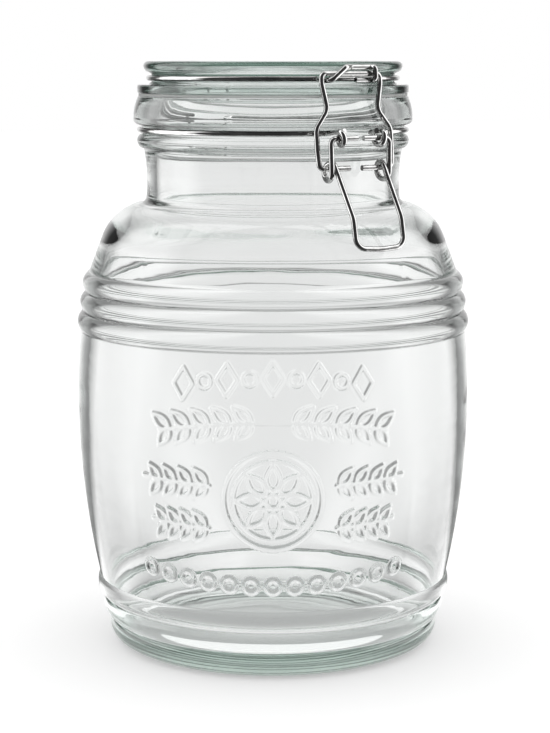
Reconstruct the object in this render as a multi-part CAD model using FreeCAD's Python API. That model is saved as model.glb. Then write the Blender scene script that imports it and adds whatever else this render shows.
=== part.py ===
import FreeCAD, Part
import math
import os
from FreeCAD import Vector

# Clip-top storage jar: a ribbed glass barrel with a flat glass lid, a seal ring and a wire clip.
# Millimetres, +Z up. The origin is the centre of the foot, the clip faces -Y, the lid's hinge is at +Y.

# ---- glass jar: radii and heights of the outer surface --------------------------------------------
foot_radius = 66.0
foot_ring_width = 4.0
push_up = 3.0
heel_height = 2.4
base_hoop_pitch = 10.0
base_hoop_count = 3
base_hoop_top_radius = 81.4
base_hoop_lean = 2.7
base_hoop_bulge = 2.5
belly_radius = 90.6
belly_height = 115.0
upper_hoop_base_height = 147.4
upper_hoop_pitch = 8.9
upper_hoop_count = 3
upper_hoop_base_radius = 88.9
upper_hoop_lean = 1.3
upper_hoop_bulge = 2.6
shoulder_flank_height = 16.5
shoulder_flank_lean = 6.3
shoulder_height = 204.6
neck_radius = 58.0
neck_foot_radius = 2.9
neck_length = 22.7
wall = 4.6
floor_thickness = 12.0
inner_corner = 18.0

# ---- mouth: bead, wire groove, collar and bore ------------------------------------------------------
bore_radius = 53.5
bead_height = 6.4
bead_radius = 62.2
collar_height = 13.0
collar_radius = 63.8
collar_top_radius = 62.0
rim_round = 0.9

# ---- lid and seal -----------------------------------------------------------------------------------
seal_thickness = 1.2
seal_overhang = 0.6
lid_flange_height = 3.9
lid_rim_height = 5.7
lid_rim_radius = 59.0
lid_recess_depth = 2.2
lid_land_width = 9.0
lid_glass = 6.4
plug_clearance = 0.9
plug_depth = 4.0
plug_wall = 6.6

# ---- wire clip --------------------------------------------------------------------------------------
wire_diameter = 2.4
groove_clearance = 0.1
wire_gap = 0.35
wire_bend = 2.4
eye_play = 0.7
eye_half_spacing = 9.8
eye_stand_off = 6.2
eye_drop = 1.9
lever_half_width = 15.25
lever_pin_end = 1.6
crank_drop = 13.0
crank_set_in = 3.3
coil_play = 1.4
handle_half_width = 12.5
handle_bend_out = 16.5
handle_bend_drop = 20.4
handle_end_out = 19.0
handle_end_drop = 32.8
handle_bow = 0.9
latch_top_half_width = 15.25
latch_kink_half_width = 13.0
latch_low_half_width = 19.4
latch_pin_end = 3.2
latch_bar_stand_off = 3.2
latch_lean = 1.6
latch_bar_rise = 2.3
hinge_stand_off = 6.2
hinge_height_above_groove = 11.2
hinge_post_half_width = 13.0
hinge_coil_half_width = 8.0

# ---- what follows from them -------------------------------------------------------------------------
wire_radius = wire_diameter / 2.0
wire_pitch = wire_diameter + wire_gap
groove_depth_radius = bead_radius - 2.3
groove_width = 1.5 * wire_diameter
neck_top = shoulder_height + neck_foot_radius + neck_length
bead_top = neck_top + bead_height
collar_base = bead_top + groove_width + 0.8
rim_height = collar_base + collar_height
neck_wire_height = bead_top + 0.4 + groove_width / 2.0
neck_wire_radius = groove_depth_radius + wire_radius + groove_clearance

seal_top = rim_height + seal_thickness
flange_radius = collar_top_radius
flange_top = seal_top + lid_flange_height
lid_groove_radius = lid_rim_radius - 3.5
lid_groove_base = flange_top + 1.2
lid_groove_top = lid_groove_base + groove_width
lid_top = lid_groove_top + lid_rim_height
lid_wire_height = (lid_groove_base + lid_groove_top) / 2.0
lid_wire_radius = lid_groove_radius + wire_radius + groove_clearance
plug_radius = bore_radius - plug_clearance

eye_radius = wire_diameter + eye_play
mouth_radius = max(bead_radius, collar_radius, collar_top_radius)
lever_pin_y = -(mouth_radius + eye_stand_off)
lever_pin_z = neck_wire_height - eye_drop
latch_pin_y = lever_pin_y + crank_set_in
latch_pin_z = lever_pin_z - crank_drop
coil_radius = wire_diameter + coil_play
coil_z = latch_pin_z - coil_play + 0.15
latch_bar_y = -max(lid_rim_radius + latch_bar_stand_off, mouth_radius - latch_lean)
latch_bar_z = lid_wire_height + latch_bar_rise
hinge_y = mouth_radius + hinge_stand_off
hinge_z = neck_wire_height + hinge_height_above_groove


# ---- profiles -----------------------------------------------------------------------------------------
def at(radius, height):
    """A point of a half section, in the XZ plane."""
    return Vector(radius, 0, height)


def line(start, end):
    return Part.LineSegment(start, end).toShape()


def arc(start, middle, end):
    return Part.Arc(start, middle, end).toShape()


def chord_point(start, end, share, offset):
    """A point part of the way from start to end, moved sideways, to the right of the way."""
    way = end - start
    side = Vector(way.z, 0, -way.x).normalize()
    return start + way * share + side * offset


def bulge(start, end, offset):
    """An arc from start to end whose middle stands out by offset."""
    return arc(start, chord_point(start, end, 0.5, offset), end)


def tangent_arc(start, way, end):
    """An arc that leaves start along way and comes to end."""
    chord = end - start
    side = chord - way * chord.dot(way)
    radius = chord.dot(chord) / (2.0 * side.Length)
    centre = start + side.normalize() * radius
    middle = ((start - centre) + (end - centre)).normalize() * radius + centre
    return arc(start, middle, end)


def crest_arc(crest, end):
    """An arc that leaves its widest point upright and comes to end."""
    return tangent_arc(crest, Vector(0, 0, math.copysign(1, end.z - crest.z)), end)


def revolve(edges):
    """A solid of revolution about Z from a closed half section."""
    face = Part.Face(Part.Wire(edges))
    return face.revolve(Vector(0, 0, 0), Vector(0, 0, 1), 360)


# ---- glass ------------------------------------------------------------------------------------------
def hoops(base_point, top_point, count, offset):
    """A stack of round hoops between two points, with sharp grooves between them."""
    step = (top_point - base_point) * (1.0 / count)
    return [bulge(base_point + step * index, base_point + step * (index + 1), offset)
            for index in range(count)]


def make_jar():
    foot_inside = at(foot_radius - foot_ring_width, 0)
    foot_outside = at(foot_radius, 0)
    hoop_stack = base_hoop_pitch * base_hoop_count
    hoop_top = at(base_hoop_top_radius, heel_height + hoop_stack)
    hoop_foot = at(base_hoop_top_radius - base_hoop_lean * base_hoop_count, heel_height)
    belly = at(belly_radius, belly_height)
    band_foot = at(upper_hoop_base_radius, upper_hoop_base_height)
    band_top = at(upper_hoop_base_radius - upper_hoop_lean * upper_hoop_count,
                  upper_hoop_base_height + upper_hoop_pitch * upper_hoop_count)
    shoulder_start = at(band_top.x - shoulder_flank_lean, band_top.z + shoulder_flank_height)
    shoulder_end = at(neck_radius + 2.2 * neck_foot_radius, shoulder_height)
    neck_foot = at(neck_radius + 0.4, shoulder_height + neck_foot_radius)
    neck_end = at(neck_radius + 1.3, neck_top)
    bead_end = at(bead_radius - 1.0, bead_top)
    groove_foot = at(groove_depth_radius, bead_top + 0.4)
    groove_head = at(groove_depth_radius, bead_top + 0.4 + groove_width)
    collar_foot = at(collar_radius - 2.3, collar_base)
    collar_crest = at(collar_radius, collar_base + 3.2)
    collar_end = at(collar_top_radius, rim_height - rim_round)
    rim_outside = at(collar_top_radius - rim_round, rim_height)
    rim_inside = at(bore_radius + rim_round, rim_height)
    bore_top = at(bore_radius, rim_height - rim_round)

    # The inside keeps one wall thickness from the outside.
    bore_end = at(bore_radius, shoulder_height + wall)
    inner_shoulder = at(shoulder_end.x - 1.6, shoulder_height - wall + 0.2)
    inner_band = at(band_top.x - wall, band_top.z - 2.0)
    inner_belly = at(belly_radius - wall, belly_height)
    inner_base = at(base_hoop_top_radius - wall, floor_thickness + inner_corner)
    floor_edge = at(inner_base.x - inner_corner, floor_thickness)
    floor_centre = at(0, floor_thickness + 0.5 * push_up)

    round_share = 1 - math.sqrt(0.5)
    corner_middle = at(inner_base.x - round_share * inner_corner,
                       inner_base.z - (1 - round_share) * inner_corner)
    outside = [
        tangent_arc(at(0, push_up), Vector(1, 0, 0), foot_inside),
        line(foot_inside, foot_outside),
        tangent_arc(foot_outside, Vector(1, 0, 0), hoop_foot),
    ]
    outside += hoops(hoop_foot, hoop_top, base_hoop_count, base_hoop_bulge)
    outside += [crest_arc(belly, hoop_top), crest_arc(belly, band_foot)]
    outside += hoops(band_foot, band_top, upper_hoop_count, upper_hoop_bulge)
    outside += [
        line(band_top, shoulder_start),
        tangent_arc(shoulder_start, (shoulder_start - band_top).normalize(), shoulder_end),
        bulge(shoulder_end, neck_foot, -1.1),
        bulge(neck_foot, neck_end, -0.9),
        bulge(neck_end, bead_end, 2.0),
        line(bead_end, groove_foot),
        line(groove_foot, groove_head),
        line(groove_head, collar_foot),
        bulge(collar_foot, collar_crest, 0.9),
        bulge(collar_crest, collar_end, 0.5),
        bulge(collar_end, rim_outside, 0.3 * rim_round),
        line(rim_outside, rim_inside),
        bulge(rim_inside, bore_top, 0.3 * rim_round),
        line(bore_top, bore_end),
    ]
    inside = [
        bulge(bore_end, inner_shoulder, -1.6),
        bulge(inner_shoulder, inner_band, -4.3),
        crest_arc(inner_belly, inner_band),
        crest_arc(inner_belly, inner_base),
        arc(inner_base, corner_middle, floor_edge),
        tangent_arc(floor_centre, Vector(1, 0, 0), floor_edge),
        line(floor_centre, at(0, push_up)),
    ]
    return revolve(outside + inside)


def make_seal():
    """A flat ring between the jar's rim and the lid's flange."""
    outer = Part.makeCylinder(collar_top_radius - seal_overhang, seal_thickness, at(0, rim_height))
    inner = Part.makeCylinder(bore_radius + rim_round, seal_thickness, at(0, rim_height))
    return outer.cut(inner).Solids[0]


def make_lid():
    plug_base = rim_height - plug_depth
    inner_radius = plug_radius - plug_wall
    recess_floor = lid_top - lid_recess_depth
    ceiling = recess_floor - lid_glass
    land_end = at(lid_rim_radius - lid_land_width, lid_top)
    recess_edge = at(land_end.x - 1.5 * lid_recess_depth, recess_floor)
    rim_crest = at(lid_rim_radius, lid_groove_top + 0.5 * lid_rim_height)
    rim_foot = at(lid_groove_radius + 0.9, lid_groove_top + 0.5)
    rim_head = at(lid_rim_radius - 2.0, lid_top)
    flange_foot = at(flange_radius - 0.8, seal_top)
    flange_low = at(flange_radius, seal_top + 0.8)
    flange_high = at(flange_radius, flange_top - 0.8)
    flange_head = at(flange_radius - 0.8, flange_top)
    edges = [
        line(at(0, recess_floor), recess_edge),
        bulge(recess_edge, land_end, -0.3),
        line(land_end, rim_head),
        bulge(rim_head, rim_crest, -0.9),
        bulge(rim_crest, rim_foot, -0.5),
        line(rim_foot, at(lid_groove_radius, lid_groove_top)),
        line(at(lid_groove_radius, lid_groove_top), at(lid_groove_radius, lid_groove_base)),
        line(at(lid_groove_radius, lid_groove_base), at(lid_groove_radius + 1.0, flange_top + 0.6)),
        bulge(at(lid_groove_radius + 1.0, flange_top + 0.6),
              at(lid_groove_radius + 1.6, flange_top), 0.2),
        line(at(lid_groove_radius + 1.6, flange_top), flange_head),
        bulge(flange_head, flange_high, -0.25),
        line(flange_high, flange_low),
        bulge(flange_low, flange_foot, -0.25),
        line(flange_foot, at(plug_radius, seal_top)),
        line(at(plug_radius, seal_top), at(plug_radius, plug_base + 1.2)),
        bulge(at(plug_radius, plug_base + 1.2), at(plug_radius - 1.2, plug_base), -0.35),
        line(at(plug_radius - 1.2, plug_base), at(inner_radius + 1.2, plug_base)),
        bulge(at(inner_radius + 1.2, plug_base), at(inner_radius, plug_base + 1.2), -0.35),
        line(at(inner_radius, plug_base + 1.2), at(inner_radius - 1.5, ceiling - 3.0)),
        bulge(at(inner_radius - 1.5, ceiling - 3.0), at(inner_radius - 5.0, ceiling), 0.9),
        line(at(inner_radius - 5.0, ceiling), at(0, ceiling)),
        line(at(0, ceiling), at(0, recess_floor)),
    ]
    return revolve(edges)


# ---- wires ------------------------------------------------------------------------------------------
def bent_wire(corners, bends):
    """A round wire along straight runs that are joined by tangent arcs.

    bends holds one bend radius for each inner corner; a bend takes at most half of a shared run.
    """
    last = len(corners) - 1
    edges = []
    here = corners[0]
    for index in range(1, last):
        corner = corners[index]
        before = corner - corners[index - 1]
        after = corners[index + 1] - corner
        turn = before.getAngle(after)
        if turn < 1e-4:
            continue
        room_before = before.Length * (1.0 if index == 1 else 0.5)
        room_after = after.Length * (1.0 if index + 1 == last else 0.5)
        reach = min(bends[index - 1] * math.tan(turn / 2), room_before, room_after)
        radius = reach / math.tan(turn / 2)
        way_in = Vector(before).normalize()
        way_out = Vector(after).normalize()
        start = corner - way_in * reach
        end = corner + way_out * reach
        inward = (way_out - way_in).normalize()
        middle = corner + inward * (radius / math.cos(turn / 2) - radius)
        if (start - here).Length > 1e-4:
            edges.append(line(here, start))
        edges.append(arc(start, middle, end))
        here = end
    if (corners[last] - here).Length > 1e-4:
        edges.append(line(here, corners[last]))
    path = Part.Wire(edges)
    first_way = (corners[1] - corners[0]).normalize()
    section = Part.Wire(Part.makeCircle(wire_radius, corners[0], first_way))
    return path.makePipeShell([section], True, False)


def mirrored(corners):
    """The same corners across the plane X = 0, in reverse order."""
    return [Vector(-corner.x, corner.y, corner.z) for corner in reversed(corners)]


def ring_corners(radius, height, start, end, count):
    """Corners of runs that touch a level circle; angles in degrees from the front, towards +X."""
    step = math.radians(end - start) / count
    reach = radius / math.cos(step / 2)
    angles = [math.radians(start) + step * (index + 0.5) for index in range(count)]
    return [Vector(reach * math.sin(angle), -reach * math.cos(angle), height) for angle in angles]


def tangent_corner(radius, height, angle, x):
    """Where the line that touches a level circle at an angle from the front reaches x."""
    touch = math.radians(angle)
    start = Vector(radius * math.sin(touch), -radius * math.cos(touch), height)
    way = Vector(math.cos(touch), math.sin(touch), 0)
    return start + way * ((x - start.x) / way.x)


def loop_corners(centre, radius, start, turn, shift, count):
    """Corners of runs that touch a circle about an axis along X; each moves on by a part of shift.

    Angles are in degrees from the top towards the front (-Y).
    """
    step = math.radians(turn) / count
    reach = radius / math.cos(step / 2)
    corners = []
    for index in range(count):
        angle = math.radians(start) + step * (index + 0.5)
        x = centre.x + shift * (index + 0.5) / count
        corners.append(Vector(x, centre.y - reach * math.sin(angle), centre.z + reach * math.cos(angle)))
    return corners


def make_neck_ring():
    """One wire round the neck groove: two eyes in front, a raised hinge bar at the back."""
    pitch = wire_pitch
    eye_centre = Vector(eye_half_spacing - pitch / 2, lever_pin_y, lever_pin_z)
    eye = loop_corners(eye_centre, eye_radius, 0, -360, pitch, 6)
    eye_end = Vector(eye_centre.x, lever_pin_y, lever_pin_z + eye_radius)
    front_lead = tangent_corner(neck_wire_radius, neck_wire_height, 18, eye_half_spacing + pitch / 2)
    back_lead = tangent_corner(neck_wire_radius, neck_wire_height, 162, hinge_post_half_width)
    side = ring_corners(neck_wire_radius, neck_wire_height, 18, 162, 4)
    post_foot = Vector(hinge_post_half_width, hinge_y, neck_wire_height)
    post_head = Vector(hinge_post_half_width, hinge_y, hinge_z)
    half = [eye_end] + eye + [front_lead] + side + [back_lead, post_foot, post_head]
    corners = half + mirrored(half)
    half_bends = [eye_radius] * len(eye) + [wire_bend] + [neck_wire_radius] * len(side) + [wire_bend] * 3
    return bent_wire(corners, half_bends + half_bends[::-1])


def make_lid_ring():
    """One wire round the lid groove: coils on the hinge bar at the back, a catch in front."""
    z_low = latch_bar_z - wire_pitch
    z_high = latch_bar_z + wire_pitch
    y_out = latch_bar_y - wire_pitch
    catch_left = -lever_half_width + 3.9
    catch_right = latch_top_half_width - 4.4
    catch = [
        Vector(catch_left - 1.6, latch_bar_y + 2.4, z_low),
        Vector(catch_left, y_out, z_low),
        Vector(-4.2, y_out, z_high),
        Vector(0.0, latch_bar_y, z_high),
        Vector(catch_right, latch_bar_y, z_high),
        Vector(catch_right + 0.2, y_out, z_high),
        Vector(catch_right + 0.6, y_out, z_low),
        Vector(catch_right, latch_bar_y + 1.0, z_low),
        Vector(3.4, latch_bar_y + 1.0, z_low),
    ]
    lead = tangent_corner(lid_wire_radius, lid_wire_height, -20, catch_left - 1.8)
    side = ring_corners(lid_wire_radius, lid_wire_height, -20, -165, 4)
    back_lead = tangent_corner(lid_wire_radius, lid_wire_height, -165, -hinge_coil_half_width)
    leg_head = Vector(-hinge_coil_half_width, hinge_y - wire_pitch, lid_wire_height)
    coil_centre = Vector(-hinge_coil_half_width, hinge_y, hinge_z)
    coil = loop_corners(coil_centre, wire_pitch, 90, 360, wire_pitch, 6)
    coil_foot = Vector(-hinge_coil_half_width + wire_pitch, hinge_y - wire_pitch,
                       hinge_z - wire_pitch - 0.9)
    back = [back_lead, leg_head] + coil + [coil_foot]
    other_side = ring_corners(lid_wire_radius, lid_wire_height, 165, -7, 5)
    ring_end_angle = math.radians(-7)
    ring_end = Vector(lid_wire_radius * math.sin(ring_end_angle),
                      -lid_wire_radius * math.cos(ring_end_angle), lid_wire_height)
    back_bends = [wire_bend] * 2 + [wire_pitch] * len(coil) + [wire_bend]
    corners = catch[::-1] + [lead] + side + back + mirrored(back) + other_side + [ring_end]
    bends = [0.8 * wire_bend] * (len(catch) - 1) + [wire_bend] + [lid_wire_radius] * len(side)
    bends += back_bends + back_bends[::-1] + [lid_wire_radius] * len(other_side)
    return bent_wire(corners, bends)


def make_lever():
    """One wire: pins in the neck ring's eyes, cranks, a coil round each latch pin, and the handle."""
    coil_centre = Vector(lever_half_width, latch_pin_y, coil_z)
    leg_turn = math.degrees(math.atan2(handle_bend_drop, handle_bend_out))
    coil = loop_corners(coil_centre, coil_radius, 90, 270 + leg_turn, handle_half_width - lever_half_width, 6)
    half = [
        Vector(lever_pin_end, lever_pin_y, lever_pin_z),
        Vector(lever_half_width, lever_pin_y, lever_pin_z),
    ]
    half += coil
    half += [
        Vector(handle_half_width, latch_pin_y - handle_bend_out, latch_pin_z - handle_bend_drop),
        Vector(handle_half_width, latch_pin_y - handle_end_out, latch_pin_z - handle_end_drop),
    ]
    half_bends = [wire_bend] + [coil_radius] * len(coil) + [4 * wire_bend, 2 * wire_bend]
    bow = Vector(0, latch_pin_y - handle_end_out, latch_pin_z - handle_end_drop - handle_bow)
    corners = half + [bow] + mirrored(half)
    return bent_wire(corners, half_bends + [20 * wire_bend] + half_bends[::-1])


def make_latch():
    """One wire: pins in the lever's coils, waisted sides, and the bar that the lid's catch holds."""
    rise = latch_bar_z - latch_pin_z

    def side_point(half_width, share):
        """A corner of the side, a share of the way up from the pins to the bar."""
        return Vector(half_width, latch_pin_y + share * (latch_bar_y - latch_pin_y),
                      latch_pin_z + share * rise)

    half = [
        side_point(latch_pin_end, 0),
        side_point(latch_low_half_width - 0.6, 0),
        side_point(latch_low_half_width, 0.2),
        side_point(latch_low_half_width, 0.42),
        side_point(latch_kink_half_width, 0.62),
        side_point(latch_top_half_width, 0.9),
        side_point(latch_top_half_width - 0.2, 1),
    ]
    half_bends = [wire_bend, 20.0, 6.0, 6.0, 10.0, wire_bend]
    corners = half + mirrored(half)
    return bent_wire(corners, half_bends + half_bends[::-1])


def main():
    os.makedirs("parts", exist_ok=True)
    makers = {
        "jar": make_jar,
        "lid": make_lid,
        "seal": make_seal,
        "neck_ring": make_neck_ring,
        "lid_ring": make_lid_ring,
        "lever": make_lever,
        "latch": make_latch,
    }
    for node, maker in makers.items():
        shape = maker()
        shape.exportStep("parts/" + node + ".step")
        print(node, shape.ShapeType, shape.isValid(), round(shape.Volume, 1), shape.BoundBox)


main()
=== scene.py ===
"""Looks of a clip-top glass storage jar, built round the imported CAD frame.

The glass of jar and lid is turned here from arcs and lines, with a raised ornament on the front.
Wires and seal come from the CAD frame and get their materials. Sizes are in millimetres, scaled
by MM where a mesh is made; the stage and the camera are in metres.
"""
import math

import bpy
import numpy as np
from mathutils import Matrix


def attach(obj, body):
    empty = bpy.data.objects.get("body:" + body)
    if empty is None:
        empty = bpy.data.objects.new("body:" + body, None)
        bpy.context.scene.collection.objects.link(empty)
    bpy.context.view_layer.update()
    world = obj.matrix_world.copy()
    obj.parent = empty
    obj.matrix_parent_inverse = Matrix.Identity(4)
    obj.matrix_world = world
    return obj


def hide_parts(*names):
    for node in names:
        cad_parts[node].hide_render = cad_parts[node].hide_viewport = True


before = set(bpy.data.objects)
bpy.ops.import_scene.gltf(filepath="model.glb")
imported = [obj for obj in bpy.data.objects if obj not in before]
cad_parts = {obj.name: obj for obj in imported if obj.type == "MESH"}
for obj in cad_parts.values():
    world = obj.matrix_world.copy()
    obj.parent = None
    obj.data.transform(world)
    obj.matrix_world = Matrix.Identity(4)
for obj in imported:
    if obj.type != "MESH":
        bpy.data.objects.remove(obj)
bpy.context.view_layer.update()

MM = 0.001
VIEW_AZIMUTH = math.radians(-32.5)

# ---- jar sizes, as in the CAD model ------------------------------------------------------------
FOOT_RADIUS = 66.0
FOOT_RING = 4.0
PUSH_UP = 3.0
HEEL = 2.4
HOOP_COUNT = 3
HOOP_ROUNDNESS = 0.8
BASE_HOOP_PITCH = 10.0
BASE_HOOP_TOP_RADIUS = 81.4
BASE_HOOP_LEAN = 2.7
BASE_HOOP_BULGE = 2.3
BELLY_RADIUS = 90.6
BELLY_HEIGHT = 115.0
UPPER_HOOP_FOOT = 147.4
UPPER_HOOP_PITCH = 8.9
UPPER_HOOP_RADIUS = 88.9
UPPER_HOOP_LEAN = 1.3
UPPER_HOOP_BULGE = 2.3
SHOULDER_FLANK = 16.5
SHOULDER_LEAN = 6.3
SHOULDER = 204.6
NECK_RADIUS = 58.0
NECK_FOOT = 2.9
NECK_FOOT_FLARE = 0.4
NECK_FILLET = 1.1
NECK_LENGTH = 22.7
NECK_TOP_FLARE = 1.3
NECK_WAIST = 0.9
WALL = 4.6
FLOOR = 12.0
INNER_CORNER = 18.0
BORE_RADIUS = 53.5
BEAD_HEIGHT = 6.4
BEAD_RADIUS = 62.2
BEAD_BULGE = 2.0
COLLAR_HEIGHT = 13.0
COLLAR_RADIUS = 63.8
COLLAR_FOOT_INSET = 2.3
COLLAR_CREST_RISE = 3.2
COLLAR_FOOT_BULGE = 0.9
COLLAR_SIDE_BULGE = 0.5
COLLAR_TOP_RADIUS = 62.0
RIM_ROUND = 0.9
WIRE = 2.4
GROOVE_WIDTH = 1.5 * WIRE
GROOVE_RADIUS = BEAD_RADIUS - 2.3
GROOVE_FLARE = 0.4
NECK_TOP = SHOULDER + NECK_FOOT + NECK_LENGTH
BEAD_TOP = NECK_TOP + BEAD_HEIGHT
COLLAR_FOOT = BEAD_TOP + GROOVE_WIDTH + 2 * GROOVE_FLARE
RIM = COLLAR_FOOT + COLLAR_HEIGHT

# ---- the inner curve from the bore to the shoulder ---------------------------------------------
BORE_END = SHOULDER + 3.6
BORE_PULL = 5.7
FLANK_PULL = 17.0

# ---- lid and seal ------------------------------------------------------------------------------
SEAL_THICKNESS = 1.2
LID_FLANGE = 3.9
LID_FLANGE_ROUND = 0.8
LID_RIM_HEIGHT = 5.7
LID_RIM_RADIUS = 59.0
LID_RECESS = 2.2
LID_LAND = 9.0
LID_GLASS = 6.4
PLUG_RADIUS = BORE_RADIUS - 0.9
PLUG_DEPTH = 4.0
PLUG_WALL = 6.6
PLUG_ROUND = 1.2
SEAL_TOP = RIM + SEAL_THICKNESS
FLANGE_TOP = SEAL_TOP + LID_FLANGE
LID_GROOVE_RADIUS = LID_RIM_RADIUS - 3.5
LID_GROOVE_FOOT = FLANGE_TOP + 1.2
LID_GROOVE_TOP = LID_GROOVE_FOOT + GROOVE_WIDTH
LID_TOP = LID_GROOVE_TOP + LID_RIM_HEIGHT

# ---- mesh columns ------------------------------------------------------------------------------
FINE_HALF_TURN = 0.76
FINE_COLUMNS = 300
COARSE_COLUMNS = 109
LID_COLUMNS = 192

# ---- ornament: lengths on the glass, turns and pitches in radians, leaf angles in degrees ------
RELIEF_HEIGHT = 0.75
RELIEF_HALF_WIDTH = 1.2
RELIEF_FLANK = 0.65
RELIEF_CENTRE = 75.0
RELIEF_LOWEST = 33.0
RELIEF_HIGHEST = 147.0
RELIEF_HALF_TURN = 0.75
BELLY_FALL = 0.0016
ARCH_RADIUS = 260.0
SAG_RADIUS = 420.0
RING_RADIUS = 3.0
LOZENGE_HALF_WIDTH = 4.6
LOZENGE_HALF_HEIGHT = 7.0
GARLAND_PITCH = 0.0385
BRANCH_PITCH = 0.036
BRANCH_HALF_TURN = 0.2
BRANCH_LEAF_ANGLE = 44
BEAD_PITCH = 0.0245
ROSETTE_RADIUS = 21.5
ROSETTE_INNER_RADIUS = 17.4
PETALS = 8
PETAL_START = 4.6
SPRIG_LEAF_ANGLE = 50
SPRIG_LEAVES = 4


# ---- outlines: lists of (radius, height) points, each stretch without its end ------------------
def run(start, end, step=3.0):
    """Points along a straight stretch."""
    start, end = np.array(start, float), np.array(end, float)
    count = max(1, int(np.linalg.norm(end - start) / step))
    return [tuple(start + (end - start) * index / count) for index in range(count)]


def three_point_arc(start, middle, end, step=0.55):
    """Points along the arc through three points."""
    (ax, ay), (bx, by), (cx, cy) = start, middle, end
    d = 2 * (ax * (by - cy) + bx * (cy - ay) + cx * (ay - by))
    a2, b2, c2 = ax * ax + ay * ay, bx * bx + by * by, cx * cx + cy * cy
    ux = (a2 * (by - cy) + b2 * (cy - ay) + c2 * (ay - by)) / d
    uy = (a2 * (cx - bx) + b2 * (ax - cx) + c2 * (bx - ax)) / d
    radius = math.hypot(ax - ux, ay - uy)
    first = math.atan2(ay - uy, ax - ux)
    way_middle = (math.atan2(by - uy, bx - ux) - first) % (2 * math.pi)
    way_end = (math.atan2(cy - uy, cx - ux) - first) % (2 * math.pi)
    if way_middle > way_end:
        way_end -= 2 * math.pi
    count = max(3, int(abs(way_end) * radius / step))
    angles = [first + way_end * index / count for index in range(count)]
    return [(ux + radius * math.cos(angle), uy + radius * math.sin(angle)) for angle in angles]


def bulge(start, end, offset, step=0.55):
    """An arc whose middle stands out by offset, to the right of the way."""
    start, end = np.array(start, float), np.array(end, float)
    way = end - start
    side = np.array([way[1], -way[0]]) / np.linalg.norm(way)
    return three_point_arc(tuple(start), tuple((start + end) / 2 + side * offset), tuple(end), step)


def tangent_arc(start, way, end, step=0.55):
    """An arc that leaves start along way and comes to end."""
    start, way, end = (np.array(value, float) for value in (start, way, end))
    chord = end - start
    side = chord - way * chord.dot(way)
    radius = chord.dot(chord) / (2 * np.linalg.norm(side))
    centre = start + side / np.linalg.norm(side) * radius
    middle = (start - centre) + (end - centre)
    middle = centre + middle / np.linalg.norm(middle) * radius
    return three_point_arc(tuple(start), tuple(middle), tuple(end), step)


def crest_arc(crest, end, step=0.55):
    """An arc that leaves crest straight up or down and comes to end."""
    return tangent_arc(crest, (0, math.copysign(1, end[1] - crest[1])), end, step)


def backwards(points, start):
    """An arc turned round for an outline that comes from start, the arc's own end."""
    return (points + [start])[::-1][:-1]


def hoops(foot, top, offset, count=18):
    """Round hoops with sharp grooves between them."""
    foot, top = np.array(foot), np.array(top)
    step = (top - foot) / HOOP_COUNT
    side = np.array([step[1], -step[0]]) / np.linalg.norm(step)
    points = []
    for index in range(HOOP_COUNT):
        for part in range(count):
            across = -math.cos(math.pi * part / count)
            rise = offset * (1 - across * across) ** HOOP_ROUNDNESS
            points.append(tuple(foot + step * (index + 0.5 + 0.5 * across) + side * rise))
    return points


def bezier(corners, count=40):
    """Points along a cubic curve."""
    p0, p1, p2, p3 = (np.array(corner, float) for corner in corners)
    shares = [index / count for index in range(count)]
    return [tuple((1 - t) ** 3 * p0 + 3 * (1 - t) ** 2 * t * p1 + 3 * (1 - t) * t * t * p2
                  + t ** 3 * p3) for t in shares]


BAND_TOP = (UPPER_HOOP_RADIUS - UPPER_HOOP_LEAN * HOOP_COUNT,
            UPPER_HOOP_FOOT + UPPER_HOOP_PITCH * HOOP_COUNT)


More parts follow.
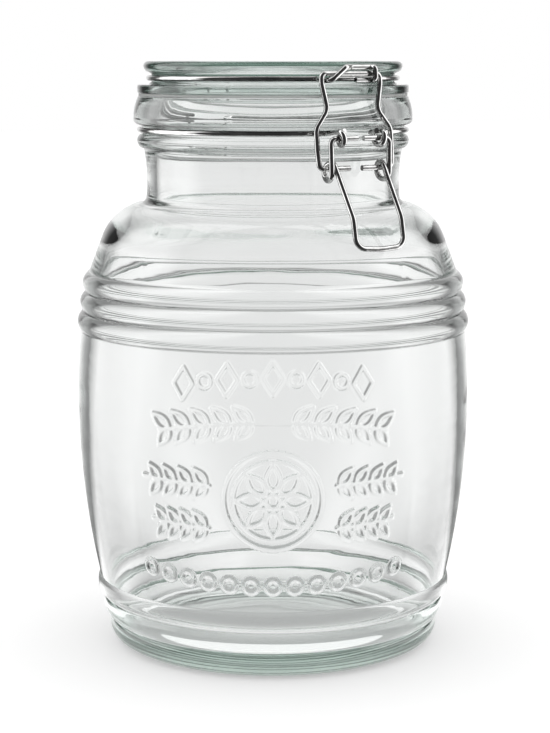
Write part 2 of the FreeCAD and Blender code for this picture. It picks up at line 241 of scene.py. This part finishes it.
def jar_outside():
    """From the axis underneath, round the outside, to the outer edge of the rim."""
    foot_in = (FOOT_RADIUS - FOOT_RING, 0)
    foot_out = (FOOT_RADIUS, 0)
    hoop_foot = (BASE_HOOP_TOP_RADIUS - BASE_HOOP_LEAN * HOOP_COUNT, HEEL)
    hoop_top = (BASE_HOOP_TOP_RADIUS, HEEL + BASE_HOOP_PITCH * HOOP_COUNT)
    belly = (BELLY_RADIUS, BELLY_HEIGHT)
    band_foot = (UPPER_HOOP_RADIUS, UPPER_HOOP_FOOT)
    shoulder_start = (BAND_TOP[0] - SHOULDER_LEAN, BAND_TOP[1] + SHOULDER_FLANK)
    shoulder_end = (NECK_RADIUS + 2.2 * NECK_FOOT, SHOULDER)
    neck_foot = (NECK_RADIUS + NECK_FOOT_FLARE, SHOULDER + NECK_FOOT)
    neck_end = (NECK_RADIUS + NECK_TOP_FLARE, NECK_TOP)
    bead_end = (BEAD_RADIUS - 1.0, BEAD_TOP)
    groove_foot = (GROOVE_RADIUS, BEAD_TOP + GROOVE_FLARE)
    groove_head = (GROOVE_RADIUS, BEAD_TOP + GROOVE_FLARE + GROOVE_WIDTH)
    collar_foot = (COLLAR_RADIUS - COLLAR_FOOT_INSET, COLLAR_FOOT)
    collar_crest = (COLLAR_RADIUS, COLLAR_FOOT + COLLAR_CREST_RISE)
    collar_end = (COLLAR_TOP_RADIUS, RIM - RIM_ROUND)
    rim_out = (COLLAR_TOP_RADIUS - RIM_ROUND, RIM)

    points = tangent_arc((0, PUSH_UP), (1, 0), foot_in, step=4.0)
    points += run(foot_in, foot_out, step=1.0)
    points += tangent_arc(foot_out, (1, 0), hoop_foot)
    points += hoops(hoop_foot, hoop_top, BASE_HOOP_BULGE)
    points += backwards(crest_arc(belly, hoop_top, step=0.5), hoop_top)
    points += crest_arc(belly, band_foot, step=0.5)
    points += hoops(band_foot, BAND_TOP, UPPER_HOOP_BULGE)
    points += run(BAND_TOP, shoulder_start, step=1.5)
    points += tangent_arc(shoulder_start, flank_way(), shoulder_end)
    points += bulge(shoulder_end, neck_foot, -NECK_FILLET)
    points += bulge(neck_foot, neck_end, -NECK_WAIST, step=1.5)
    points += bulge(neck_end, bead_end, BEAD_BULGE)
    points += run(bead_end, groove_foot, step=0.5)
    points += run(groove_foot, groove_head, step=1.0)
    points += run(groove_head, collar_foot, step=0.5)
    points += bulge(collar_foot, collar_crest, COLLAR_FOOT_BULGE)
    points += bulge(collar_crest, collar_end, COLLAR_SIDE_BULGE)
    points += bulge(collar_end, rim_out, 0.3 * RIM_ROUND, step=0.3)
    return points + [rim_out]


def jar_inside():
    """From the inner edge of the rim, down the inside, to the axis on the inner floor."""
    rim_in = (BORE_RADIUS + RIM_ROUND, RIM)
    bore_top = (BORE_RADIUS, RIM - RIM_ROUND)
    bore_end = (BORE_RADIUS, BORE_END)
    flank = (BAND_TOP[0] - 0.5 * SHOULDER_LEAN - WALL, BAND_TOP[1] + 0.6 * SHOULDER_FLANK)
    band = (BAND_TOP[0] - WALL, BAND_TOP[1] - 2.0)
    belly = (BELLY_RADIUS - WALL, BELLY_HEIGHT)
    base = (BASE_HOOP_TOP_RADIUS - WALL, FLOOR + INNER_CORNER)
    floor_edge = (base[0] - INNER_CORNER, FLOOR)
    share = 1 - math.sqrt(0.5)
    corner = (base[0] - share * INNER_CORNER, base[1] - (1 - share) * INNER_CORNER)
    floor_centre = (0, FLOOR + 0.5 * PUSH_UP)

    points = bulge(rim_in, bore_top, 0.3 * RIM_ROUND, step=0.3)
    points += run(bore_top, bore_end, step=2.0)
    points += bezier((bore_end, (BORE_RADIUS, BORE_END - BORE_PULL),
                      tuple(np.array(flank) + FLANK_PULL * flank_way()), flank))
    points += run(flank, band, step=1.5)
    points += backwards(crest_arc(belly, band, step=2.0), band)
    points += crest_arc(belly, base, step=2.0)
    points += three_point_arc(base, corner, floor_edge, step=1.0)
    points += backwards(tangent_arc(floor_centre, (1, 0), floor_edge, step=4.0), floor_edge)
    return points + [floor_centre]


def flank_way():
    """The direction of the shoulder's flank."""
    return np.array((-SHOULDER_LEAN, SHOULDER_FLANK)) / math.hypot(SHOULDER_LEAN, SHOULDER_FLANK)


def jar_outline():
    """The closed half section of the jar, outside first."""
    outside, inside = jar_outside(), jar_inside()
    return outside[:-1] + run(outside[-1], inside[0], step=1.5) + inside


def lid_outline():
    """The closed half section of the lid, from the axis on top to the axis underneath."""
    plug_foot = RIM - PLUG_DEPTH
    inner = PLUG_RADIUS - PLUG_WALL
    recess = LID_TOP - LID_RECESS
    ceiling = recess - LID_GLASS
    land_end = (LID_RIM_RADIUS - LID_LAND, LID_TOP)
    recess_edge = (land_end[0] - 1.5 * LID_RECESS, recess)
    rim_head = (LID_RIM_RADIUS - 2.0, LID_TOP)
    rim_crest = (LID_RIM_RADIUS, LID_GROOVE_TOP + 0.5 * LID_RIM_HEIGHT)
    rim_foot = (LID_GROOVE_RADIUS + 0.9, LID_GROOVE_TOP + 0.5)
    groove_top = (LID_GROOVE_RADIUS, LID_GROOVE_TOP)
    groove_foot = (LID_GROOVE_RADIUS, LID_GROOVE_FOOT)
    step_high = (LID_GROOVE_RADIUS + 1.0, FLANGE_TOP + 0.6)
    step_low = (LID_GROOVE_RADIUS + 1.6, FLANGE_TOP)
    flange_head = (COLLAR_TOP_RADIUS - LID_FLANGE_ROUND, FLANGE_TOP)
    flange_high = (COLLAR_TOP_RADIUS, FLANGE_TOP - LID_FLANGE_ROUND)
    flange_low = (COLLAR_TOP_RADIUS, SEAL_TOP + LID_FLANGE_ROUND)
    flange_foot = (COLLAR_TOP_RADIUS - LID_FLANGE_ROUND, SEAL_TOP)
    plug_head = (PLUG_RADIUS, SEAL_TOP)
    plug_low = (PLUG_RADIUS, plug_foot + PLUG_ROUND)
    plug_out = (PLUG_RADIUS - PLUG_ROUND, plug_foot)
    plug_in = (inner + PLUG_ROUND, plug_foot)
    wall_low = (inner, plug_foot + PLUG_ROUND)
    wall_high = (inner - 1.5, ceiling - 3.0)
    ceiling_edge = (inner - 5.0, ceiling)

    points = run((0, recess), recess_edge, step=5.0)
    points += bulge(recess_edge, land_end, -0.3, step=0.5)
    points += run(land_end, rim_head, step=2.0)
    points += bulge(rim_head, rim_crest, -0.9, step=0.3)
    points += bulge(rim_crest, rim_foot, -0.5, step=0.3)
    points += run(rim_foot, groove_top, step=0.5)
    points += run(groove_top, groove_foot, step=1.0)
    points += run(groove_foot, step_high, step=0.5)
    points += bulge(step_high, step_low, 0.2, step=0.3)
    points += run(step_low, flange_head, step=1.0)
    points += bulge(flange_head, flange_high, -0.25, step=0.3)
    points += run(flange_high, flange_low, step=1.0)
    points += bulge(flange_low, flange_foot, -0.25, step=0.3)
    points += run(flange_foot, plug_head, step=2.0)
    points += run(plug_head, plug_low, step=1.5)
    points += bulge(plug_low, plug_out, -0.35, step=0.3)
    points += run(plug_out, plug_in, step=1.5)
    points += bulge(plug_in, wall_low, -0.35, step=0.3)
    points += run(wall_low, wall_high, step=1.5)
    points += bulge(wall_high, ceiling_edge, 0.9, step=0.5)
    points += run(ceiling_edge, (0, ceiling), step=5.0)
    return points + [(0, ceiling)]


# ---- ornament: strokes as chains of points round its centre ------------------------------------
def circle(x, y, radius, count=40):
    turns = [2 * math.pi * index / count for index in range(count + 1)]
    return [(x + radius * math.cos(turn), y + radius * math.sin(turn)) for turn in turns]


def leaf(x, y, angle, length, width, count=10):
    """A closed leaf outline that starts at (x, y) and points along angle, in degrees."""
    turn = math.radians(angle)
    shares = [index / count for index in range(count + 1)]
    edge = [(length * share, width / 2 * math.sin(math.pi * share ** 0.8)) for share in shares]
    loop = edge + [(along, -across) for along, across in reversed(edge)]
    return [(x + along * math.cos(turn) - across * math.sin(turn),
             y + along * math.sin(turn) + across * math.cos(turn)) for along, across in loop]


def arched(radius, crest, angle):
    """A place on an arch whose crest stands at height crest."""
    return radius * math.sin(angle), crest - radius + radius * math.cos(angle)


def garland(crest):
    """Lozenges and rings, in turn, along an arch."""
    lines = []
    wide, high = LOZENGE_HALF_WIDTH, LOZENGE_HALF_HEIGHT
    for index in range(-4, 5):
        x, y = arched(ARCH_RADIUS, crest, index * GARLAND_PITCH)
        if index % 2:
            lines.append(circle(x, y, RING_RADIUS, 20))
        else:
            lines.append([(x - wide, y), (x, y + high), (x + wide, y), (x, y - high),
                          (x - wide, y)])
    return lines


def branch(crest):
    """A stem along an arch with pairs of leaves that open away from its middle."""
    stem = np.linspace(-BRANCH_HALF_TURN, BRANCH_HALF_TURN, 30)
    lines = [[arched(ARCH_RADIUS, crest, angle) for angle in stem]]
    for index in (-5, -4, -3, -2, -1, 1, 2, 3, 4, 5):
        angle = index * BRANCH_PITCH
        x, y = arched(ARCH_RADIUS, crest, angle)
        side = 1 if index > 0 else -1
        lead = -math.degrees(angle) + (0 if index > 0 else 180)
        lines.append(leaf(x, y, lead + side * BRANCH_LEAF_ANGLE, 10.5, 4.8))
        lines.append(leaf(x, y, lead - side * BRANCH_LEAF_ANGLE, 9.5, 4.6))
    return lines


def rosette(height):
    """Petals in a double ring."""
    lines = [circle(0, height, ROSETTE_RADIUS, 72), circle(0, height, ROSETTE_INNER_RADIUS, 64),
             circle(0, height, RING_RADIUS, 20)]
    for index in range(PETALS):
        angle = 360.0 / PETALS * index
        turn = math.radians(angle)
        foot = (PETAL_START * math.cos(turn), height + PETAL_START * math.sin(turn))
        lines.append(leaf(*foot, angle, 11.6, 6.0))
    return lines


def sprigs(height, start, reach):
    """A twig with pairs of leaves on each side of the rosette."""
    lines = []
    for side in (-1, 1):
        foot, tip = side * start, side * (start + reach)
        lines.append([(foot, height), (tip, height + 2.0)])
        lead = 0 if side > 0 else 180
        for index in range(SPRIG_LEAVES):
            x = foot + side * (1.5 + index * reach / 4.4)
            for turn in (SPRIG_LEAF_ANGLE, -SPRIG_LEAF_ANGLE):
                lines.append(leaf(x, height + 0.5, lead + side * turn, 8.6, 4.2))
    return lines


def beads(height, count):
    """Rings along a sagging line, count of them on each side of the middle one."""
    return [circle(*arched(-SAG_RADIUS, height, index * BEAD_PITCH), RING_RADIUS, 20)
            for index in range(-count, count + 1)]


def relief_lines():
    """All strokes; the heights and starts are counted from the ornament's centre."""
    return (garland(62.0) + branch(43.0) + rosette(9.0) + sprigs(15.0, 28.0, 33.0)
            + sprigs(-4.0, 29.0, 28.0) + beads(-30.0, 6))


def polyline_distance(u, v, points):
    """The distance of each place (u, v) from a chain of points."""
    best = np.full(u.shape, 1e9)
    for (ax, ay), (bx, by) in zip(points[:-1], points[1:]):
        dx, dy = bx - ax, by - ay
        share = np.clip(((u - ax) * dx + (v - ay) * dy) / max(dx * dx + dy * dy, 1e-9), 0, 1)
        best = np.minimum(best, np.hypot(u - ax - share * dx, v - ay - share * dy))
    return best


def relief(u, v):
    """How far the glass stands out at each place (u, v) of the ornament's field."""
    total = np.zeros(u.shape)
    margin = 2.0
    for points in relief_lines():
        xs = [point[0] for point in points]
        ys = [point[1] for point in points]
        near = ((u > min(xs) - margin) & (u < max(xs) + margin)
                & (v > min(ys) - margin) & (v < max(ys) + margin))
        if not near.any():
            continue
        distance = polyline_distance(u[near], v[near], points)
        share = np.clip((RELIEF_HALF_WIDTH - distance) / RELIEF_FLANK, 0, 1)
        total[near] = np.maximum(total[near], RELIEF_HEIGHT * share * share * (3 - 2 * share))
    return total


def jar_relief(radius, height, azimuth):
    """The ornament's height on the outside of the wall, and 0 everywhere else."""
    # about the middle of the wall, which draws in with the square of the way from the belly
    wall_middle = BELLY_RADIUS - 0.55 * WALL - BELLY_FALL * (height - BELLY_HEIGHT) ** 2
    turn = (azimuth - VIEW_AZIMUTH + math.pi) % (2 * math.pi) - math.pi
    field = ((radius > wall_middle) & (np.abs(turn) < RELIEF_HALF_TURN)
             & (height > RELIEF_LOWEST) & (height < RELIEF_HIGHEST))
    result = np.zeros(radius.shape)
    result[field] = relief(turn[field] * BELLY_RADIUS, height[field] - RELIEF_CENTRE)
    return result


# ---- meshes ------------------------------------------------------------------------------------
def link(name, data):
    """A new object in the scene that shows data."""
    piece = bpy.data.objects.new(name, data)
    bpy.context.scene.collection.objects.link(piece)
    return piece


def lathe(name, outline, angles, change=None):
    """A closed mesh of revolution. The outline starts and ends on the axis; angles are the
    columns' azimuths; change gives what is added to each place's radius."""
    rings = np.array(outline[1:-1])
    columns = len(angles)
    radius = np.repeat(rings[:, :1], columns, axis=1)
    height = np.repeat(rings[:, 1:], columns, axis=1)
    azimuth = np.repeat(np.array(angles)[None, :], len(rings), axis=0)
    if change is not None:
        radius = radius + change(radius, height, azimuth)
    verts = np.stack([radius * np.sin(azimuth), -radius * np.cos(azimuth), height], axis=-1)
    poles = np.array([[0, 0, outline[0][1]], [0, 0, outline[-1][1]]])
    verts = np.concatenate([verts.reshape(-1, 3), poles]) * MM

    row = np.arange(len(rings) - 1)[:, None] * columns
    here = np.arange(columns)[None, :]
    after = (here + 1) % columns
    quads = np.stack([row + here, row + after, row + columns + after, row + columns + here],
                     axis=-1).reshape(-1, 4)
    first, last = len(verts) - 2, len(verts) - 1
    top = (len(rings) - 1) * columns
    ends = [(first, (i + 1) % columns, i) for i in range(columns)]
    ends += [(last, top + i, top + (i + 1) % columns) for i in range(columns)]

    mesh = bpy.data.meshes.new(name)
    mesh.from_pydata([tuple(v) for v in verts], [], [tuple(q) for q in quads.tolist()] + ends)
    smooth(mesh)
    mesh.update()
    return link(name, mesh)


def smooth(mesh):
    mesh.polygons.foreach_set("use_smooth", [True] * len(mesh.polygons))


def even_angles(count):
    return [2 * math.pi * index / count for index in range(count)]


def front_angles():
    """Column azimuths: close together across the ornament, wider apart round the rest."""
    fine = np.linspace(-FINE_HALF_TURN, FINE_HALF_TURN, FINE_COLUMNS)
    coarse = np.linspace(FINE_HALF_TURN, 2 * math.pi - FINE_HALF_TURN, COARSE_COLUMNS + 2)[1:-1]
    return list(VIEW_AZIMUTH + fine) + list(VIEW_AZIMUTH + coarse)


# ---- nodes -------------------------------------------------------------------------------------
class Wiring:
    """Short forms for the nodes that the materials and the world are made of."""

    def __init__(self, tree):
        self.nodes, self.links = tree.nodes, tree.links

    def plug(self, value, socket):
        if isinstance(value, (int, float)):
            socket.default_value = value
        else:
            self.links.new(value, socket)

    def calculate(self, operation, *values):
        node = self.nodes.new("ShaderNodeMath")
        node.operation = operation
        for value, socket in zip(values, node.inputs):
            self.plug(value, socket)
        return node.outputs["Value"]

    def along(self, vector, way):
        """How far vector reaches along way."""
        node = self.nodes.new("ShaderNodeVectorMath")
        node.operation = "DOT_PRODUCT"
        self.links.new(vector, node.inputs[0])
        node.inputs[1].default_value = way
        return node.outputs["Value"]

    def ramp(self, value, stops):
        """Colours between the (place, colour) stops, places from 0 to 1."""
        node = self.nodes.new("ShaderNodeValToRGB")
        self.links.new(value, node.inputs["Fac"])
        elements = node.color_ramp.elements
        while len(elements) < len(stops):
            elements.new(0.5)
        for element, (place, colour) in zip(elements, stops):
            element.position = place
            element.color = (*colour, 1)
        return node.outputs["Color"]

    def greys(self, value, stops):
        """Greys between the (place, grey) stops."""
        return self.ramp(value, [(place, (grey, grey, grey)) for place, grey in stops])

    def map_range(self, value, start, end, low=0.0, high=1.0):
        """low where value is start or less, high where it is end or more."""
        node = self.nodes.new("ShaderNodeMapRange")
        self.links.new(value, node.inputs["Value"])
        for name, number in (("From Min", start), ("From Max", end), ("To Min", low),
                             ("To Max", high)):
            node.inputs[name].default_value = number
        return node.outputs["Result"]

    def pick(self, share, low, high):
        """low where share is 0, high where it is 1."""
        node = self.nodes.new("ShaderNodeMix")
        node.data_type = "FLOAT"
        for value, name in ((share, "Factor"), (low, "A"), (high, "B")):
            self.plug(value, node.inputs[name])
        return node.outputs["Result"]

    def ray(self, name):
        return self.nodes.new("ShaderNodeLightPath").outputs[name]

    def noise(self, scale, detail=2.0, stretch=None):
        """The grey of a noise that sits still on the object."""
        place = self.nodes.new("ShaderNodeTexCoord").outputs["Object"]
        if stretch is not None:
            mapping = self.nodes.new("ShaderNodeMapping")
            mapping.inputs["Scale"].default_value = stretch
            self.links.new(place, mapping.inputs["Vector"])
            place = mapping.outputs["Vector"]
        node = self.nodes.new("ShaderNodeTexNoise")
        node.inputs["Scale"].default_value = scale
        node.inputs["Detail"].default_value = detail
        self.links.new(place, node.inputs["Vector"])
        return node.outputs["Fac"]

    def bump(self, height, strength, distance):
        """A normal that follows height; distance is in metres."""
        node = self.nodes.new("ShaderNodeBump")
        node.inputs["Strength"].default_value = strength
        node.inputs["Distance"].default_value = distance
        self.links.new(height, node.inputs["Height"])
        return node.outputs["Normal"]

    def bearing(self, vector):
        """Half the turn away from the line behind the object: 0 behind it, 1 in front."""
        sine, cosine = math.sin(VIEW_AZIMUTH), math.cos(VIEW_AZIMUTH)
        ahead = self.along(vector, (-sine, cosine, 0.0))
        across = self.along(vector, (cosine, sine, 0.0))
        angle = self.calculate("ARCTAN2", self.calculate("ABSOLUTE", across), ahead)
        return self.calculate("DIVIDE", angle, math.pi)


# ---- materials ---------------------------------------------------------------------------------
def new_material(name):
    """A material with its shader and the wiring for its other nodes."""
    material = bpy.data.materials.new(name)
    material.use_nodes = True
    return material, material.node_tree.nodes["Principled BSDF"], Wiring(material.node_tree)


def glass_material(name, tint, density):
    """Clear pressed glass: a tint that deepens with thickness, and a moulded surface's waves."""
    material, shader, wiring = new_material(name)
    shader.inputs["Base Color"].default_value = (1, 1, 1, 1)
    shader.inputs["Roughness"].default_value = 0.0
    shader.inputs["IOR"].default_value = 1.5
    shader.inputs["Transmission Weight"].default_value = 1.0
    waves = wiring.noise(45, detail=1.5, stretch=(0.45, 0.45, 1.8))
    wiring.links.new(wiring.bump(waves, 0.35, 0.0006), shader.inputs["Normal"])
    depth = wiring.nodes.new("ShaderNodeVolumeAbsorption")
    depth.inputs["Color"].default_value = (*tint, 1)
    depth.inputs["Density"].default_value = density
    wiring.links.new(depth.outputs["Volume"], wiring.nodes["Material Output"].inputs["Volume"])
    return material


def steel_material():
    """Bright drawn wire: fine scratches and a slightly uneven polish."""
    material, shader, wiring = new_material("bright_wire")
    shader.inputs["Metallic"].default_value = 1.0
    shader.inputs["IOR"].default_value = 2.5
    patches = wiring.noise(240, detail=3)
    colour = wiring.ramp(patches, ((0.3, (0.44, 0.435, 0.43)), (0.7, (0.66, 0.66, 0.655))))
    wiring.links.new(colour, shader.inputs["Base Color"])
    polish = wiring.map_range(patches, 0.0, 1.0, low=0.04, high=0.12)
    wiring.links.new(polish, shader.inputs["Roughness"])
    wiring.links.new(wiring.bump(wiring.noise(900), 0.08, 0.0002), shader.inputs["Normal"])
    return material


def seal_material():
    """Pale translucent rubber with a fine grain."""
    material, shader, wiring = new_material("pale_seal")
    shader.inputs["Roughness"].default_value = 0.45
    shader.inputs["IOR"].default_value = 1.42
    shader.inputs["Transmission Weight"].default_value = 0.6
    colour = wiring.ramp(wiring.noise(350), ((0.0, (0.78, 0.8, 0.78)), (1.0, (0.9, 0.91, 0.9))))
    wiring.links.new(colour, shader.inputs["Base Color"])
    return material


# ---- pieces ------------------------------------------------------------------------------------
def make_pieces():
    jar = lathe("jar_glass", jar_outline(), front_angles(), jar_relief)
    jar.data.materials.append(glass_material("jar_glass", (0.77, 0.835, 0.805), 20.0))
    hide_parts("jar")
    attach(jar, "jar_body")

    lid = lathe("lid_glass", lid_outline()[::-1], even_angles(LID_COLUMNS))
    lid.data.materials.append(glass_material("lid_glass", (0.68, 0.78, 0.74), 34.0))
    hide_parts("lid")
    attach(lid, "lid_body")

    steel = steel_material()
    for node in ("neck_ring", "lid_ring", "lever", "latch"):
        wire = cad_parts[node].data
        wire.materials.clear()
        wire.materials.append(steel)
        smooth(wire)
    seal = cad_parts["seal"].data
    seal.materials.clear()
    seal.materials.append(seal_material())


# ---- stage -------------------------------------------------------------------------------------
# What a refraction sees by bearing: a lit backdrop behind, and the dark room beyond its edges.
THROUGH = ((0.0, 0.86), (0.025, 0.88), (0.05, 1.0), (0.11, 0.9), (0.18, 0.5), (0.25, 0.1),
           (0.42, 0.1), (0.5, 0.5), (0.6, 0.75), (1.0, 0.75))
# What a reflection sees: the backdrop, a dark gap, a panel at each side, and the dim front.
MIRRORED = ((0.0, 0.4), (0.12, 0.4), (0.2, 0.06), (0.27, 0.06), (0.33, 1.0), (0.55, 1.0),
            (0.64, 0.03), (1.0, 0.015))
PANEL_GAIN = 2.4
# How far the room shows rather than a grey ceiling, by the sine of the height above the horizon.
ROOM_SHARE = ((0.0, 1.0), (0.22, 1.0), (0.32, 0.55), (0.48, 0.1), (0.6, 0.1), (0.75, 0.9),
              (1.0, 0.9))
CEILING_GREY = 0.21
FLOOR_REACH = 6.0
FLOOR_GREY = 0.84
FLOOR_LIFT = 0.32
LIFT_UNDER_GLASS = 0.39
DARKEST_FLOOR = 0.3
# Glass and gloss see a lit floor up to the first reach, and the room in it from the second on.
LIT_REACH = 0.085
ROOM_REACH = 0.13


def mirrored_room(wiring, bearing):
    return wiring.calculate("MULTIPLY", wiring.greys(bearing, MIRRORED), PANEL_GAIN)


def floor_material():
    """White and evenly lit for the camera; further off, glass and gloss see the room there."""
    material, shader, wiring = new_material("floor")
    nodes, links = wiring.nodes, wiring.links
    nodes.remove(shader)
    place = nodes.new("ShaderNodeNewGeometry").outputs["Position"]
    length = nodes.new("ShaderNodeVectorMath")
    length.operation = "LENGTH"
    links.new(place, length.inputs[0])
    far = wiring.map_range(length.outputs["Value"], LIT_REACH, ROOM_REACH)
    bearing = wiring.bearing(place)
    refracted = wiring.ray("Is Transmission Ray")
    bent = wiring.calculate("MAXIMUM", refracted, wiring.ray("Is Glossy Ray"))
    through = wiring.calculate("MAXIMUM", wiring.greys(bearing, THROUGH), DARKEST_FLOOR)
    room = wiring.pick(refracted, mirrored_room(wiring, bearing), through)
    share = wiring.calculate("MULTIPLY", bent, far)
    matt = nodes.new("ShaderNodeBsdfDiffuse")
    links.new(wiring.pick(share, FLOOR_GREY, 0.0), matt.inputs["Color"])
    seen = wiring.calculate("MAXIMUM", bent, wiring.ray("Is Camera Ray"))
    lift = wiring.calculate("MULTIPLY", wiring.pick(bent, FLOOR_LIFT, LIFT_UNDER_GLASS), seen)
    glow = nodes.new("ShaderNodeEmission")
    links.new(wiring.pick(share, lift, room), glow.inputs["Strength"])
    both = nodes.new("ShaderNodeAddShader")
    links.new(matt.outputs["BSDF"], both.inputs[0])
    links.new(glow.outputs["Emission"], both.inputs[1])
    links.new(both.outputs["Shader"], nodes["Material Output"].inputs["Surface"])
    return material


def make_floor():
    mesh = bpy.data.meshes.new("floor")
    corners = [(x * FLOOR_REACH, y * FLOOR_REACH, 0)
               for x, y in ((-1, -1), (1, -1), (1, 1), (-1, 1))]
    mesh.from_pydata(corners, [], [(0, 1, 2, 3)])
    mesh.materials.append(floor_material())
    floor = link("floor", mesh)


def make_world():
    """White for the camera and for light; glass and gloss see the backdrop, panels and gaps."""
    world = bpy.data.worlds.new("studio")
    bpy.context.scene.world = world
    world.use_nodes = True
    wiring = Wiring(world.node_tree)
    way = wiring.nodes.new("ShaderNodeTexCoord").outputs["Generated"]
    bearing = wiring.bearing(way)
    share = wiring.greys(wiring.along(way, (0, 0, 1)), ROOM_SHARE)
    through = wiring.pick(share, CEILING_GREY, wiring.greys(bearing, THROUGH))
    # a refracted ray counts as glossy too, so it is told apart last
    strength = wiring.pick(wiring.ray("Is Glossy Ray"), 1.0, mirrored_room(wiring, bearing))
    strength = wiring.pick(wiring.ray("Is Transmission Ray"), strength, through)
    background = wiring.nodes["Background"]
    background.inputs["Color"].default_value = (1, 1, 1, 1)
    wiring.links.new(strength, background.inputs["Strength"])


# ---- camera ------------------------------------------------------------------------------------
IMAGE_WIDTH = 550
IMAGE_HEIGHT = 733
SENSOR = 36.0
LENS = 130.909
CAMERA_REACH = 0.924
CAMERA_HEIGHT = 0.271
CAMERA_PITCH = math.radians(8.7688)
CAMERA_PAN = math.radians(0.0573)
CLIP_END = 50


def make_camera():
    data = bpy.data.cameras.new("camera")
    data.sensor_fit = "VERTICAL"
    data.sensor_height = SENSOR * IMAGE_HEIGHT / IMAGE_WIDTH
    data.lens = LENS
    data.clip_end = CLIP_END
    camera = link("camera", data)
    bpy.context.scene.camera = camera
    camera.location = (CAMERA_REACH * math.sin(VIEW_AZIMUTH),
                       -CAMERA_REACH * math.cos(VIEW_AZIMUTH), CAMERA_HEIGHT)
    camera.rotation_euler = (math.pi / 2 - CAMERA_PITCH, 0, VIEW_AZIMUTH - CAMERA_PAN)


def set_view():
    """Plain tones, and enough bounces for light to get through the glass's many walls."""
    scene = bpy.context.scene
    scene.view_settings.view_transform = "Standard"
    scene.cycles.max_bounces = 24
    scene.cycles.transmission_bounces = 24
    scene.cycles.glossy_bounces = 12


make_camera()
make_pieces()
make_floor()
make_world()
set_view()
